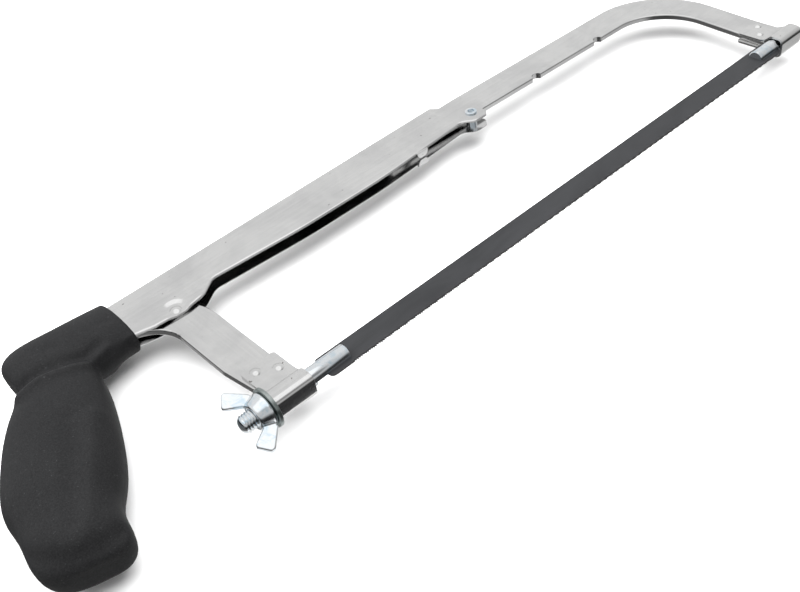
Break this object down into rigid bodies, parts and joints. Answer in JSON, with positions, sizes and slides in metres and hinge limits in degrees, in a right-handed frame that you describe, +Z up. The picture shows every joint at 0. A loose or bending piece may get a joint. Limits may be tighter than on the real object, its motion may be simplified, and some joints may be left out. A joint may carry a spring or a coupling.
{
  "type": "hacksaw",
  "caption": "Adjustable hacksaw with a pistol grip, a folded channel frame, a notched flat-bar bow and a blade drawn tight by a wing nut.",
  "frame": {"origin": "on the surface that the saw lies on, under the middle of its box; the saw's mid-plane is level", "axes": "+X from the handle to the nose along the blade, +Y from the blade to the spine, +Z up out of the flank that lies uppermost"},
  "size_m": [0.4588, 0.1204, 0.0274],
  "materials": {
    "handle_plastic": "fine spark-textured moulding, matt black",
    "plated_steel": "bright nickel-plated rolled steel, fine scratches",
    "zinc_plate": "clear bluish zinc plate",
    "washer_steel": "dull zinc plate",
    "blade_paint": "satin dark grey paint"
  },
  "bodies": {
    "frame": {"handle": "handle_plastic", "rear_frame": "plated_steel", "rear_arm": "plated_steel", "arm_rivet": "plated_steel", "tang_rivet": "plated_steel", "cross_pin": "zinc_plate", "rear_bracket": "plated_steel", "rear_rivet_lower": "plated_steel", "rear_rivet_upper": "plated_steel"},
    "bow": {"bow": "plated_steel", "front_bracket": "plated_steel", "front_rivet_lower": "plated_steel", "front_rivet_upper": "plated_steel", "front_stud": "zinc_plate", "front_blade_pin": "zinc_plate"},
    "tension_stud": {"rear_stud": "zinc_plate"},
    "blade_pivot": {"rear_blade_pin": "zinc_plate"},
    "blade": {"blade": "blade_paint"},
    "washer": {"washer": "washer_steel"},
    "wing_nut": {"wing_nut": "zinc_plate"}
  },
  "joints": [
    {"name": "wing_nut_turn", "type": "hinge", "parent": "frame", "child": "wing_nut", "pos_m": [-0.13568, -0.04168, 0.01368], "axis": [-1, 0, 0], "range_deg": [0, 1441]},
    {"name": "tension_slide", "type": "slide", "parent": "frame", "child": "tension_stud", "axis": [1, 0, 0], "range_m": [0, 0.005]},
    {"name": "bow_swing", "type": "hinge", "parent": "frame", "child": "bow", "pos_m": [0.06232, 0.03832, 0.01368], "axis": [0, 0, 1], "range_deg": [0, 3.6]},
    {"name": "blade_tilt", "type": "hinge", "parent": "tension_stud", "child": "blade_pivot", "pos_m": [-0.09768, -0.04168, 0.01368], "axis": [0, 0, 1], "range_deg": [0, 1.7]},
    {"name": "blade_lift_off", "type": "slide", "parent": "blade_pivot", "child": "blade", "axis": [0, 0, -1], "range_m": [0, 0.006]},
    {"name": "washer_spin", "type": "hinge", "parent": "frame", "child": "washer", "pos_m": [-0.13108, -0.04168, 0.01368], "axis": [-1, 0, 0], "continuous": true}
  ],
  "couplings": [
    {"joint": "wing_nut_turn", "follows": "tension_slide", "rad_per_m": 5026.5},
    {"joint": "bow_swing", "follows": "tension_slide", "rad_per_m": 12.5},
    {"joint": "blade_tilt", "follows": "tension_slide", "rad_per_m": 5.875}
  ]
}
